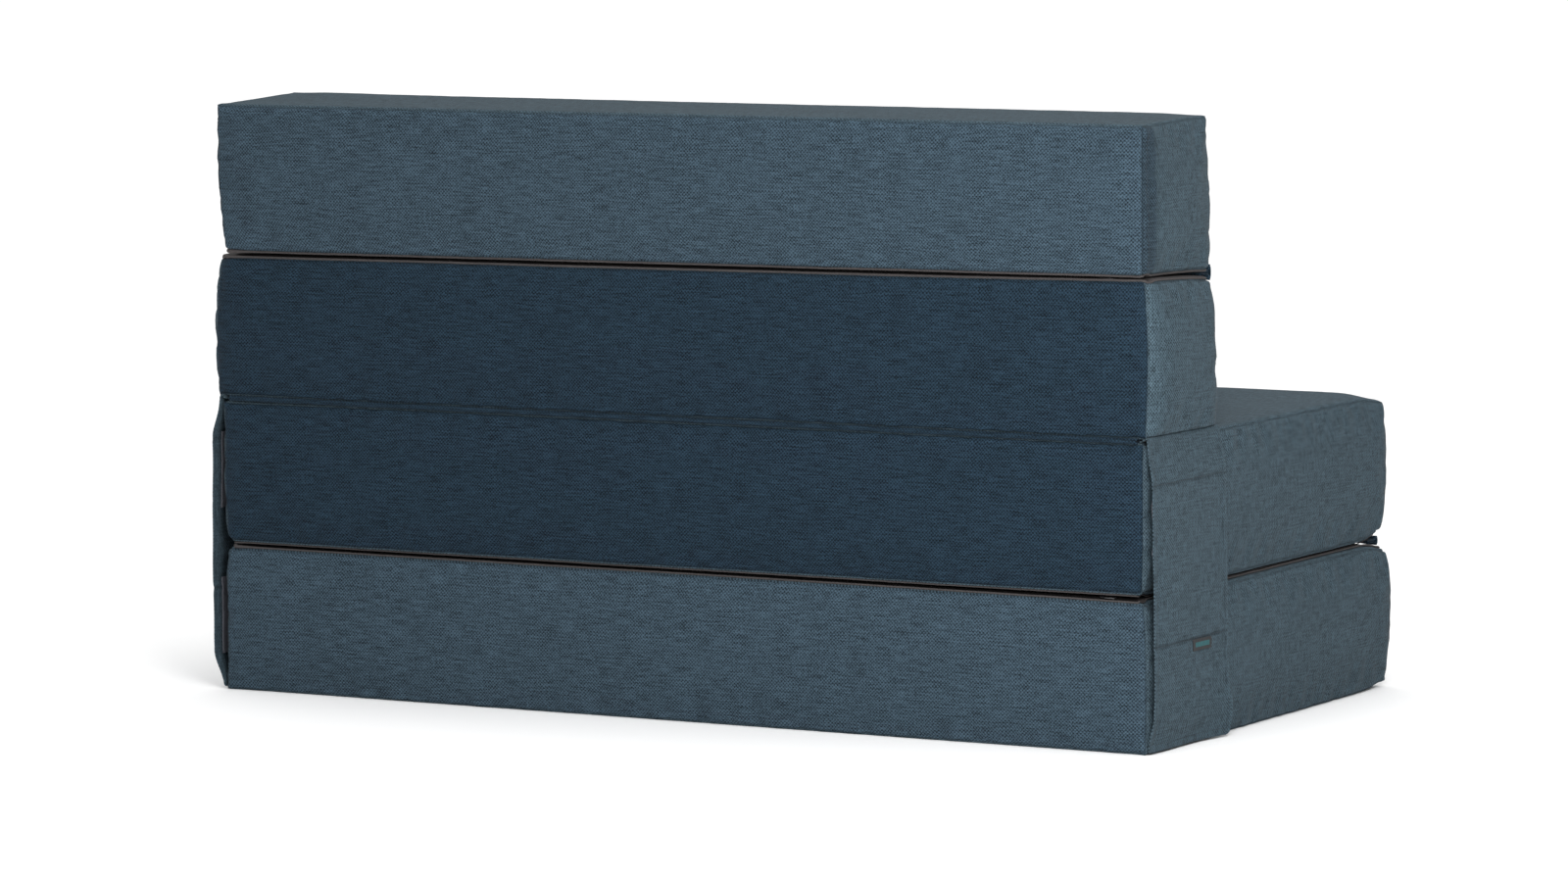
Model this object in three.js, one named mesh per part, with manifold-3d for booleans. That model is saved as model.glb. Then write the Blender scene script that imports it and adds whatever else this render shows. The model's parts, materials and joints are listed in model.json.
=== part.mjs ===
// A fold-out foam sofa bed: two wide mattress slabs lie one on the other as the seat, and two
// square blocks stand on the rear edge as the back. Fabric hinges join the four in a chain, so
// that they open into one long flat mattress. Two side flaps with hook-and-loop pads tie the
// back to the seat, and every slab and block is a foam core in its own zipped cover.
//
// Millimetres, +Z up, +X across the width, and the seat faces -Y. The origin is on the floor,
// under the centre.

import * as THREE from 'three';
import { RoundedBoxGeometry } from 'three/addons/geometries/RoundedBoxGeometry.js';
import { mergeVertices } from 'three/addons/utils/BufferGeometryUtils.js';
import Module from 'manifold-3d';

const wasm = await Module();
wasm.setup();

// ---- driving dimensions -----------------------------------------------------------------

const WIDTH = 1400; // across the covers
const SLAB_DEPTH = 725; // front to back of the seat
const BLOCK_DEPTH = 200; // front to back of the back blocks
const THICKNESS = 197; // of every slab and block, in its cover
const STACK_GAP = 4; // between two covers that lie on each other
const FABRIC = 1.5; // cover and lining cloth
const CLEAR = 0.3; // between two pieces that touch
const EDGE_RADIUS = 12; // of a cover's edges
const EDGE_SEGMENTS = 2;

const LINING_INSET = 6; // from a cover's outline to its lining
const ZIP_WIDTH = 10; // across both tapes
const ZIP_LENGTH = 1320;
const SLIDER_TRAVEL = 1280; // from closed to open
const SLIDER = { length: 14, width: 8, height: 1.3 };
const PULL_TAB = { length: 24, width: 5, height: 1 };

const HINGE_WIDTH = 1340; // along the fold
const HINGE_LEAF = 30; // from the fold to the leaf's sewn edge
const HINGE_CLOTH = 1.4;
const HINGE_REACH = 2; // the fold lies this far outside the covers

const FLAP_WIDTH = 205;
const FLAP_CLOTH = 2.4; // two layers, sewn together
const FLAP_FOOT = 3; // height of the flap's lower end
const FLAP_DROP = 2; // from the fold at the back block's lower edge to the flap's upper end
const PAD = { depth: 170, height: 105, cloth: 2, setback: 18 }; // hook or loop pad
const LABEL = { depth: 48, height: 15, cloth: 1, setback: 104 }; // setback from the rear
const LABEL_TOP = 137; // height of its upper edge

const REAR = SLAB_DEPTH / 2; // the back face of the whole stack
const FRONT = -SLAB_DEPTH / 2;
const LEVEL = THICKNESS + STACK_GAP; // from one cover's underside to the next one's
const LEFT = 1; // the sitter's left is +X
const RIGHT = -1;
const SAME_POINT = 1e-4; // vertices closer than this are one

// The four padded pieces, from the floor up. Where two linings meet, the pair unfolds
// lining side down, so the cover's good side is up on a flat mattress. The two pieces that meet
// back to back there have a rear panel of darker cloth.
const PADDED = [
  {
    name: 'base_slab',
    darkRear: false,
    depth: SLAB_DEPTH,
    level: 0,
    liningUp: true,
    zipEnd: RIGHT,
  },
  {
    name: 'seat_slab',
    darkRear: true,
    depth: SLAB_DEPTH,
    level: 1,
    liningUp: false,
    zipEnd: LEFT,
  },
  {
    name: 'back_block',
    darkRear: true,
    depth: BLOCK_DEPTH,
    level: 2,
    liningUp: true,
    zipEnd: RIGHT,
  },
  {
    name: 'head_block',
    darkRear: false,
    depth: BLOCK_DEPTH,
    level: 3,
    liningUp: false,
    zipEnd: LEFT,
  },
];

// Each fold is a strip of cloth with a leaf sewn to the piece under it and one to the piece
// over it. level counts the joints between the pieces from the floor up.
const HINGES = [
  { name: 'seat_hinge', level: 1, foldY: FRONT - HINGE_REACH, towards: 1, material: 'lining' },
  { name: 'back_hinge', level: 2, foldY: REAR + HINGE_REACH, towards: -1, material: 'fabric_dark' },
  {
    name: 'head_hinge',
    level: 3,
    foldY: REAR - BLOCK_DEPTH - HINGE_REACH,
    towards: 1,
    material: 'lining',
  },
];

// ---- materials --------------------------------------------------------------------------

const MATERIALS = {
  fabric_light: new THREE.MeshStandardMaterial({ color: 0x3f5567, roughness: 0.95, metalness: 0 }),
  fabric_dark: new THREE.MeshStandardMaterial({ color: 0x263c4e, roughness: 0.95, metalness: 0 }),
  lining: new THREE.MeshStandardMaterial({ color: 0x4a4546, roughness: 0.9, metalness: 0 }),
  foam: new THREE.MeshStandardMaterial({ color: 0xe9e2c8, roughness: 1, metalness: 0 }),
  zip: new THREE.MeshStandardMaterial({ color: 0x2b2a2c, roughness: 0.6, metalness: 0 }),
  slider: new THREE.MeshStandardMaterial({ color: 0x55575a, roughness: 0.35, metalness: 0.9 }),
  loop_pad: new THREE.MeshStandardMaterial({ color: 0x8a9299, roughness: 1, metalness: 0 }),
  hook_pad: new THREE.MeshStandardMaterial({ color: 0x6f7880, roughness: 0.8, metalness: 0 }),
  label: new THREE.MeshStandardMaterial({ color: 0x2c6f78, roughness: 0.7, metalness: 0 }),
};

// ---- solids -----------------------------------------------------------------------------

function toSolid(geometry) {
  const bare = new THREE.BufferGeometry();
  bare.setAttribute('position', geometry.getAttribute('position'));
  if (geometry.index) bare.setIndex(geometry.index);
  const merged = mergeVertices(bare, SAME_POINT);
  return new wasm.Manifold(
    new wasm.Mesh({
      numProp: 3,
      vertProperties: merged.attributes.position.array,
      triVerts: new Uint32Array(merged.index.array),
    }),
  );
}

function toGeometry(solid) {
  const mesh = solid.getMesh();
  const geometry = new THREE.BufferGeometry();
  geometry.setAttribute('position', new THREE.BufferAttribute(mesh.vertProperties, 3));
  geometry.setIndex(new THREE.BufferAttribute(mesh.triVerts, 1));
  geometry.computeVertexNormals();
  return geometry;
}

function node(name, geometry, material, position = [0, 0, 0]) {
  const mesh = new THREE.Mesh(geometry, MATERIALS[material]);
  mesh.name = name;
  mesh.position.set(...position);
  return mesh;
}

// A box solid between two corners.
function boxBetween(low, high) {
  const size = high.map((value, axis) => value - low[axis]);
  const centre = high.map((value, axis) => (value + low[axis]) / 2);
  return toSolid(new THREE.BoxGeometry(...size).translate(...centre));
}

// A rounded box that lies `inset` inside a cover of the given depth.
function paddedForm(depth, inset) {
  return new RoundedBoxGeometry(
    WIDTH - 2 * inset,
    depth - 2 * inset,
    THICKNESS - 2 * inset,
    EDGE_SEGMENTS,
    EDGE_RADIUS - inset,
  );
}

// ---- a slab or block: core, cover, lining, zip and slider -------------------------------

// Everything here is centred on the piece, with its lining on the +Z side if liningUp.
function paddedPiece({ name, darkRear, depth, level, liningUp, zipEnd }) {
  const side = liningUp ? 1 : -1;
  const skin = toSolid(paddedForm(depth, 0)).subtract(toSolid(paddedForm(depth, FABRIC)));

  const liningX = WIDTH / 2 - LINING_INSET;
  const liningRear = depth / 2 - LINING_INSET;
  const zipFront = liningRear - ZIP_WIDTH;
  const cutInner = THICKNESS / 2 - EDGE_RADIUS; // the cuts reach from here out past the skin
  const cutOuter = THICKNESS / 2 + FABRIC;
  const cut = (x, front, rear) =>
    boxBetween(
      [-x, front, Math.min(side * cutInner, side * cutOuter)],
      [x, rear, Math.max(side * cutInner, side * cutOuter)],
    );

  const mouth = cut(liningX + CLEAR, -liningRear - CLEAR, liningRear + CLEAR);
  const lining = cut(liningX, -liningRear, zipFront - CLEAR);
  const zip = cut(ZIP_LENGTH / 2, zipFront, liningRear);
  const opened = skin.subtract(mouth);

  const group = new THREE.Group();
  group.position.set(0, REAR - depth / 2, level * LEVEL + THICKNESS / 2);
  group.add(
    node(`${name}_core`, paddedForm(depth, FABRIC + CLEAR), 'foam'),
    node(
      `${name}_cover`,
      toGeometry(darkRear ? opened.subtract(rearPanel(depth, CLEAR)) : opened),
      'fabric_light',
    ),
    node(`${name}_lining`, toGeometry(skin.intersect(lining)), 'lining'),
    node(`${name}_zip`, toGeometry(skin.intersect(zip)), 'zip'),
    node(`${name}_zip_slider`, sliderForm(side), 'slider', [
      (zipEnd * SLIDER_TRAVEL) / 2,
      (zipFront + liningRear) / 2,
      side * (THICKNESS / 2 + CLEAR),
    ]),
  );
  if (darkRear) {
    const panel = toGeometry(skin.intersect(rearPanel(depth, 0)));
    group.add(node(`${name}_rear_panel`, panel, 'fabric_dark'));
  }
  return group;
}

// The space of a rear panel, grown by `margin`: the flat of the rear face, inside its edges.
function rearPanel(depth, margin) {
  const x = WIDTH / 2 - EDGE_RADIUS + margin;
  const z = THICKNESS / 2 - EDGE_RADIUS + margin;
  return boxBetween([-x, depth / 2 - EDGE_RADIUS, -z], [x, depth / 2 + FABRIC, z]);
}

// The slider's body straddles the coil, and its flat pull tab lies along the tape.
function sliderForm(side) {
  const body = new THREE.BoxGeometry(SLIDER.length, SLIDER.width, SLIDER.height);
  body.translate(0, 0, (side * SLIDER.height) / 2);
  const tab = new THREE.BoxGeometry(PULL_TAB.length, PULL_TAB.width, PULL_TAB.height);
  tab.translate(0, -SLIDER.width / 2, (side * PULL_TAB.height) / 2);
  return toGeometry(toSolid(body).add(toSolid(tab)));
}

// ---- fabric hinges ----------------------------------------------------------------------

function hinge({ name, level, foldY, towards, material }) {
  const foldZ = level * LEVEL - STACK_GAP / 2;
  const leaf = (end, up) =>
    node(
      `${name}_${end}_leaf`,
      new THREE.BoxGeometry(HINGE_WIDTH, HINGE_LEAF, HINGE_CLOTH),
      material,
      [0, foldY + towards * (CLEAR + HINGE_LEAF / 2), foldZ + up * (CLEAR + HINGE_CLOTH / 2)],
    );
  return [leaf('lower', -1), leaf('upper', 1)];
}

// ---- side flaps and their hook-and-loop pads --------------------------------------------

const FLAP_TOP = 2 * LEVEL - STACK_GAP / 2 - FLAP_DROP;
const LOOP_X = WIDTH / 2 + CLEAR; // inner faces of each layer, outwards from the seat's side
const HOOK_X = LOOP_X + PAD.cloth + CLEAR;
const FLAP_X = HOOK_X + PAD.cloth + CLEAR;
const LABEL_X = FLAP_X + FLAP_CLOTH + CLEAR;

// A flat layer on one side of the seat, from innerX outwards and from low to high.
function sideLayer({ name, material, sign, innerX, cloth, depth, setback, low, high }) {
  return node(name, new THREE.BoxGeometry(cloth, depth, high - low), material, [
    sign * (innerX + cloth / 2),
    REAR - setback - depth / 2,
    (low + high) / 2,
  ]);
}

// The hook and loop pads of one side: a pair on the base slab and a pair on the seat slab.
function padPairs(sideName, sign) {
  return ['lower', 'upper'].flatMap((place, level) => {
    const low = level * LEVEL + (THICKNESS - PAD.height) / 2;
    const pad = (kind, innerX) =>
      sideLayer({
        name: `${sideName}_${kind}_pad_${place}`,
        material: `${kind}_pad`,
        sign,
        innerX,
        cloth: PAD.cloth,
        depth: PAD.depth,
        setback: PAD.setback,
        low,
        high: low + PAD.height,
      });
    return [pad('loop', LOOP_X), pad('hook', HOOK_X)];
  });
}

function sideFlap(sideName, sign) {
  return sideLayer({
    name: `${sideName}_side_flap`,
    material: 'fabric_light',
    sign,
    innerX: FLAP_X,
    cloth: FLAP_CLOTH,
    depth: FLAP_WIDTH,
    setback: 0,
    low: FLAP_FOOT,
    high: FLAP_TOP,
  });
}

function careLabel() {
  return sideLayer({
    name: 'care_label',
    material: 'label',
    sign: RIGHT,
    innerX: LABEL_X,
    cloth: LABEL.cloth,
    depth: LABEL.depth,
    setback: LABEL.setback,
    low: LABEL_TOP - LABEL.height,
    high: LABEL_TOP,
  });
}

// ---- the assembly -----------------------------------------------------------------------

const sofaBed = new THREE.Group();
PADDED.forEach((piece) => sofaBed.add(paddedPiece(piece)));
HINGES.forEach((strip) => sofaBed.add(...hinge(strip)));
sofaBed.add(sideFlap('left', LEFT), ...padPairs('left', LEFT));
sofaBed.add(sideFlap('right', RIGHT), ...padPairs('right', RIGHT), careLabel());

export default sofaBed;
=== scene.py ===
"""The looks of a folding foam mattress stacked as a sofa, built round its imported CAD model.

Four foam pieces in woven covers stand on each other: two slabs are the seat and two blocks are
the back. Lengths are metres, in the CAD model's frame: +Z up, the seat faces -Y, and +X is the
sitter's left.
"""

import json
import math

import bpy
import numpy as np
from mathutils import Matrix, Vector, noise
from mathutils.bvhtree import BVHTree

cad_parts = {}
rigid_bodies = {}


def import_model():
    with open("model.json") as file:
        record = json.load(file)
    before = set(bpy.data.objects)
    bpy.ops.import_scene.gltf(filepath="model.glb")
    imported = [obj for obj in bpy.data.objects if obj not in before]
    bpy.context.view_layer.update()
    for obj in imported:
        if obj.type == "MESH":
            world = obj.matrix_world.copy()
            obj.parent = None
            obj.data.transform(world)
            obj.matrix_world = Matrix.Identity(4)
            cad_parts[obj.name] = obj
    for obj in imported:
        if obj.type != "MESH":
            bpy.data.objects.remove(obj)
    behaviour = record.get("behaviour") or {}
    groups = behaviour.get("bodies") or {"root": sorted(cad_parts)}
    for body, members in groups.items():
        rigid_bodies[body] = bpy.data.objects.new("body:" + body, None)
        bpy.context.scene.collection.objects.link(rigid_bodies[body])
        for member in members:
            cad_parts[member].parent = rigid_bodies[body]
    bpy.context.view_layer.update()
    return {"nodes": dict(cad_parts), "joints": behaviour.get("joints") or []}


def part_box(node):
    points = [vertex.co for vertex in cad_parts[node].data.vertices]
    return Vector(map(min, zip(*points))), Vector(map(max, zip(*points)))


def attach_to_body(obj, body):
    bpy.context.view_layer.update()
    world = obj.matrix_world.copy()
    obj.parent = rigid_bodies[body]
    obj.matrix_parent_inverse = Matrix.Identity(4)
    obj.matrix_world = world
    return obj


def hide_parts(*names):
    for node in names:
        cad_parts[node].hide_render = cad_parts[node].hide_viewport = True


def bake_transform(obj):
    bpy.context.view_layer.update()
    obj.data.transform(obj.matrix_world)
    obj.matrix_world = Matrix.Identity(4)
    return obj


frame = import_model()
joints = {joint["name"]: joint for joint in frame["joints"]}

MM = 0.001
LEFT, RIGHT = 1, -1
FRONT, REAR = -1, 1
DOWN, UP = -1, 1


# ---- materials ---------------------------------------------------------------------------

class Shader:
    """A small helper that wires one node material."""

    def __init__(self, name):
        self.material = bpy.data.materials.new(name)
        self.material.use_nodes = True
        self.tree = self.material.node_tree
        self.surface = self.tree.nodes["Principled BSDF"]

    def add(self, kind, inputs=(), **settings):
        made = self.tree.nodes.new(kind)
        for key, value in settings.items():
            setattr(made, key, value)
        for key, value in dict(inputs).items():
            self.put(made.inputs[key], value)
        return made

    def put(self, socket, value):
        if isinstance(value, bpy.types.NodeSocket):
            self.tree.links.new(value, socket)
        else:
            socket.default_value = value

    def math(self, operation, *values, clamp=False):
        made = self.add("ShaderNodeMath", dict(enumerate(values)), operation=operation)
        made.use_clamp = clamp
        return made.outputs[0]

    def mix(self, share, low, high, blend="MIX"):
        """A colour between low and high."""
        made = self.add("ShaderNodeMix", data_type="RGBA", blend_type=blend)
        for index, value in ((0, share), (6, low), (7, high)):
            self.put(made.inputs[index], value)
        return made.outputs[2]

    def cells(self, place, per_metre, detail=2.0, spread=1.0):
        """Noise about 0, with its own number of cells per metre along each axis."""
        moved = self.add("ShaderNodeMapping", {"Vector": place, "Scale": per_metre}).outputs[0]
        made = self.add("ShaderNodeTexNoise", {"Vector": moved, "Scale": 1.0, "Detail": detail})
        return self.math("MULTIPLY_ADD", made.outputs[0], spread, -0.5 * spread)

    def wave(self, value, length):
        return self.math("SINE", self.math("MULTIPLY", value, 2 * math.pi / length))

    def total(self, start, *shares):
        """start plus each (value, share)."""
        for value, share in shares:
            start = self.math("MULTIPLY_ADD", value, share, start)
        return start


BASKET = 4.9 * MM


def woven(name, colour, contrast=0.74, slub=1.0, grid=0.16, nap=0.03):
    """A mottled basket weave in two tones about the colour. The WeaveMap is in metres: slubs run
    along its u, and grid is how strongly thick yarns run along its v. The Shade attribute
    scales it: painted shade on the seam lines and pad seams, painted highlights on the back's
    rounded rear corners and the flaps' front edges, wear just off the seams, and a darker band
    beside the head's rear seams."""
    shader = Shader(name)
    place = shader.add("ShaderNodeUVMap", uv_map="WeaveMap").outputs[0]
    axes = shader.add("ShaderNodeSeparateXYZ", {"Vector": place}).outputs
    check = shader.math(
        "MULTIPLY", shader.wave(axes[0], BASKET), shader.wave(axes[1], BASKET)
    )
    over = shader.math("MULTIPLY_ADD", check, 1.2, 0.5, clamp=True)
    weft = shader.cells(place, (30, 520, 1), detail=3, spread=3.4)
    warp = shader.cells(place, (520, 42, 1), detail=3, spread=3.0)
    slubs = shader.cells(place, (34, 420, 1), detail=2, spread=3.0)
    thick_yarns = shader.cells(place, (430, 60, 1), detail=2, spread=3.0)
    speckle = shader.cells(place, (420, 420, 1), detail=3, spread=3.4)
    fleck = shader.cells(place, (190, 230, 1), detail=2, spread=3.0)
    cloud = shader.cells(place, (9, 16, 1), detail=3, spread=1.6)
    yarn = shader.total(warp, (shader.math("SUBTRACT", weft, warp), over))
    tone = shader.total(
        0.5, (yarn, 0.30), (slubs, 0.40 * slub), (thick_yarns, grid), (speckle, 0.34),
        (fleck, 0.10), (check, 0.48), (cloud, 0.12),
    )
    low = [part * (1 - contrast) for part in colour]
    high = [part * (1 + contrast) for part in colour]
    cloth = shader.mix(tone, rgb(*low), rgb(*high))
    # The Shade attribute brings in painted shade, painted highlights and wear.
    shade = shader.add("ShaderNodeAttribute", attribute_name="Shade").outputs["Fac"]
    cloth = shader.mix(1.0, cloth, shade, blend="MULTIPLY")
    shader.put(shader.surface.inputs["Base Color"], cloth)

    relief = shader.total(0.0, (check, 0.6), (yarn, 0.7), (speckle, 0.3))
    bump = shader.add(
        "ShaderNodeBump", {"Height": relief, "Strength": 0.3, "Distance": 0.5 * MM}
    )
    shader.put(shader.surface.inputs["Normal"], bump.outputs[0])
    rough = shader.math("MULTIPLY_ADD", speckle, 0.05, 0.9)
    shader.put(shader.surface.inputs["Roughness"], rough)
    shader.surface.inputs["Specular IOR Level"].default_value = 0.1
    shader.surface.inputs["Sheen Weight"].default_value = nap
    shader.surface.inputs["Sheen Roughness"].default_value = 0.4
    return shader.material


def plain(name, colour, contrast, grain, bump=0.2, depth=0.3, roughness=0.8, metallic=0.0):
    """A material with fine mottling: grain is its cells per metre along each axis."""
    shader = Shader(name)
    place = shader.add("ShaderNodeTexCoord").outputs["Object"]
    mottle = shader.cells(place, grain, detail=4, spread=2.4)
    patch = shader.cells(place, (18, 18, 18), detail=2, spread=1.4)
    tone = shader.total(0.5, (mottle, 0.7), (patch, 0.5))
    low = [part * (1 - contrast) for part in colour]
    high = [part * (1 + contrast) for part in colour]
    shader.put(shader.surface.inputs["Base Color"], shader.mix(tone, rgb(*low), rgb(*high)))
    made = shader.add(
        "ShaderNodeBump", {"Height": mottle, "Strength": bump, "Distance": depth * MM}
    )
    shader.put(shader.surface.inputs["Normal"], made.outputs[0])
    rough = shader.math("MULTIPLY_ADD", mottle, 0.05, roughness)
    shader.put(shader.surface.inputs["Roughness"], rough)
    shader.surface.inputs["Metallic"].default_value = metallic
    return shader.material


def rgb(red, green, blue):
    return (red, green, blue, 1.0)


CLOTH_LIGHT = woven("cloth_light", (0.030, 0.049, 0.066))
CLOTH_DARK = woven("cloth_dark", (0.010, 0.021, 0.033), slub=1.1)
CLOTH_SIDE = woven("cloth_side", (0.036, 0.056, 0.070), contrast=0.66, slub=0.7, grid=0.42)
LINING = plain("lining", (0.036, 0.031, 0.031), 0.3, (500, 500, 500))
FOAM = plain("foam", (0.80, 0.76, 0.58), 0.12, (420, 420, 420), 0.6, 1.0, 0.95)
ZIP_TAPE = plain("zip_tape", (0.022, 0.021, 0.023), 0.4, (900, 500, 500))
ZIP_COIL = plain("zip_coil", (0.035, 0.034, 0.036), 0.3, (400, 400, 400), 0.1, roughness=0.5)
METAL = plain("slider_metal", (0.25, 0.25, 0.26), 0.2, (300, 300, 300), 0.1, 0.1, 0.38, 0.9)
HOOK = plain("hook_tape", (0.13, 0.135, 0.16), 0.4, (900, 900, 900), 0.7, 1.0)
LOOP = plain("loop_tape", (0.16, 0.165, 0.195), 0.4, (600, 600, 600), 0.8, 1.2, 0.95)
LABEL_GROUND = plain("label_ground", (0.013, 0.014, 0.016), 0.3, (900, 900, 900))
LABEL_STRIPE = plain("label_stripe", (0.008, 0.066, 0.075), 0.3, (1200, 300, 300))
THREAD = plain("thread", (0.012, 0.020, 0.027), 0.4, (800, 800, 800))


# ---- meshes ------------------------------------------------------------------------------

def make_mesh(name, points, faces, materials, which=None, weave=None, shade=None):
    """A smooth-shaded object. which is each face's material, weave each corner's WeaveMap
    place, and shade each point's Shade."""
    mesh = bpy.data.meshes.new(name)
    mesh.from_pydata(np.asarray(points).tolist(), [], [[int(i) for i in f] for f in faces])
    for material in materials:
        mesh.materials.append(material)
    mesh.polygons.foreach_set("use_smooth", np.ones(len(mesh.polygons), bool))
    if which is not None:
        mesh.polygons.foreach_set("material_index", np.asarray(which, np.int32))
    if weave is not None:
        layer = mesh.uv_layers.new(name="WeaveMap")
        layer.data.foreach_set("uv", np.asarray(weave, np.float32).ravel())
    values = np.ones(len(points)) if shade is None else shade
    tone = mesh.attributes.new("Shade", "FLOAT", "POINT")
    tone.data.foreach_set("value", np.asarray(values, np.float32))
    mesh.update()
    made = bpy.data.objects.new(name, mesh)
    bpy.context.scene.collection.objects.link(made)
    return made


def graded(low, high, rim, step):
    """Places from low to high: the rim's distances from each end, and even steps between."""
    rim = np.asarray(rim, float)
    first, last = low + rim[-1], high - rim[-1]
    middle = np.linspace(first, last, max(2, round((last - first) / step)) + 1)
    return np.concatenate([low + rim[:-1], middle, (high - rim[:-1])[::-1]])


def grid_quads(sheet, flip=False):
    corners = (sheet[:-1, :-1], sheet[1:, :-1], sheet[1:, 1:], sheet[:-1, 1:])
    made = np.stack(corners, axis=-1).reshape(-1, 4)
    return made[:, ::-1] if flip else made


def rim_of(ids):
    """The numbers round a grid's edge, in order."""
    return np.concatenate([ids[:-1, 0], ids[-1, :-1], ids[:0:-1, -1], ids[0, :0:-1]])


class BoxLattice:
    """The surface points of a box lattice and its outward quads, panel by panel."""

    PANELS = [(0, LEFT), (0, RIGHT), (1, FRONT), (1, REAR), (2, DOWN), (2, UP)]

    def __init__(self, *places):
        shape = tuple(len(line) for line in places)
        cells = np.indices(shape).reshape(3, -1).T
        outside = ((cells == 0) | (cells == np.array(shape) - 1)).any(axis=1)
        cells = cells[outside]
        self.ids = np.full(shape, -1)
        self.ids[tuple(cells.T)] = np.arange(len(cells))
        self.points = np.stack([line[cells[:, axis]] for axis, line in enumerate(places)], axis=1)

    def sheet(self, axis, side):
        """The point numbers of one panel, as a grid over its other two axes."""
        place = [slice(None)] * 3
        place[axis] = -1 if side > 0 else 0
        return self.ids[tuple(place)]

    def quads(self, axis, side):
        return grid_quads(self.sheet(axis, side), flip=(side > 0) == (axis == 1))


def outward(points, half, radius):
    """The rounded box's middle points and its unit directions outwards."""
    core = np.clip(points, -(half - radius), half - radius)
    away = points - core
    return core, away / np.linalg.norm(away, axis=1)[:, None]


def unevenness(points, cell, seed):
    """Smooth noise from -1 to 1 at each point, with bumps about one cell long."""
    flat = np.asarray(points).reshape(-1, 3)
    made = [noise.noise(Vector(point) / cell + Vector((seed, 3 * seed, 0))) for point in flat]
    return np.array(made).reshape(np.shape(points)[:-1])


def near(distance, span):
    """1 at no distance, and fading within the span."""
    return np.exp(-((distance / span) ** 2))


def ramp(value, low, high):
    share = np.clip((value - low) / (high - low), 0, 1)
    return share * share * (3 - 2 * share)


def coordinates(made):
    found = np.zeros(len(made.data.vertices) * 3, np.float32)
    made.data.vertices.foreach_get("co", found)
    return found.reshape(-1, 3).astype(float)


def vertex_normals(made):
    found = np.zeros(len(made.data.vertices) * 3, np.float32)
    made.data.vertices.foreach_get("normal", found)
    return found.reshape(-1, 3).astype(float)


def sheet_mesh(name, grid, thickness, materials, which=None, weave=None, shade=None):
    """A closed sheet of cloth: grid is its outer side, a positive thickness grows against the
    direction of rows times columns, and a negative one grows along it."""
    along, across = np.gradient(grid, axis=0), np.gradient(grid, axis=1)
    normal = np.cross(along, across)
    normal /= np.linalg.norm(normal, axis=2)[:, :, None]
    inner = grid - normal * thickness
    ids = np.arange(grid[..., 0].size).reshape(grid.shape[:2])
    rim = rim_of(ids)
    walls = np.stack([rim, np.roll(rim, -1), np.roll(rim, -1) + ids.size, rim + ids.size], axis=1)
    turned = thickness < 0
    outer_quads, inner_quads = grid_quads(ids, turned), grid_quads(ids + ids.size, not turned)
    walls = walls if turned else walls[:, ::-1]
    faces = np.concatenate([outer_quads, inner_quads, walls])
    if which is not None:
        which = np.concatenate([which.ravel(), which.ravel(), np.zeros(len(walls))])
    if weave is not None:
        weave = np.tile(weave.reshape(-1, 2), (2, 1))[faces.ravel()]
    if shade is not None:
        shade = np.tile(shade.ravel(), 2)
    points = np.concatenate([grid.reshape(-1, 3), inner.reshape(-1, 3)])
    return make_mesh(name, points, faces, materials, which, weave, shade)


def tube(path, radius, closed=False, sides=8):
    """The points and faces of a round tube along the path."""
    path = np.asarray(path, float)
    ahead = np.roll(path, -1, axis=0) - np.roll(path, 1, axis=0)
    if not closed:
        ahead[0], ahead[-1] = path[1] - path[0], path[-1] - path[-2]
    ahead /= np.linalg.norm(ahead, axis=1)[:, None]
    first = np.cross(ahead, (0.0, 0.0, 1.0))
    first /= np.linalg.norm(first, axis=1)[:, None]
    second = np.cross(ahead, first)
    turn = np.arange(sides) * 2 * math.pi / sides
    ring = np.cos(turn)[:, None, None] * first + np.sin(turn)[:, None, None] * second
    points = (path + radius * ring).transpose(1, 0, 2).reshape(-1, 3)
    ids = np.arange(len(points)).reshape(len(path), sides)
    wrapped = np.concatenate([ids, ids[:, :1]], axis=1)
    if closed:
        wrapped = np.concatenate([wrapped, wrapped[:1]], axis=0)
        return points, list(grid_quads(wrapped, flip=True))
    return points, [*grid_quads(wrapped, flip=True), ids[0][::-1], ids[-1]]


def merged(*parts):
    """Several parts' points and faces as one."""
    points, faces, start = [], [], 0
    for part_points, part_faces in parts:
        points.append(part_points)
        faces += [np.asarray(face) + start for face in part_faces]
        start += len(part_points)
    return np.concatenate(points), faces


def rounded_block(size, radius, cells=4):
    """A small rounded block about the origin."""
    half = np.array(size) / 2
    rim = np.array([0, 0.3, 1.0]) * radius
    lattice = BoxLattice(*(graded(-h, h, rim, max(h / cells, radius)) for h in half))
    core, away = outward(lattice.points, half, radius)
    faces = [face for panel in BoxLattice.PANELS for face in lattice.quads(*panel)]
    return core + away * radius, faces


def stamped(stamp, places, along, up):
    """Copies of a stamp at the places. Its x lies along, and its z points up."""
    points, faces = stamp
    along = along / np.linalg.norm(along, axis=1)[:, None]
    across = np.cross(up, along)
    across /= np.linalg.norm(across, axis=1)[:, None]
    risen = np.cross(along, across)
    axes = np.stack([along, across, risen], axis=1)
    placed = np.einsum("pk,nkc->npc", points, axes) + np.asarray(places)[:, None]
    copies = [np.asarray(face) + n * len(points) for n in range(len(placed)) for face in faces]
    return placed.reshape(-1, 3), copies


STITCH_LENGTH = 3.2 * MM
STITCH_PITCH = 4.6 * MM
STITCH_RADIUS = 0.45 * MM


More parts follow.
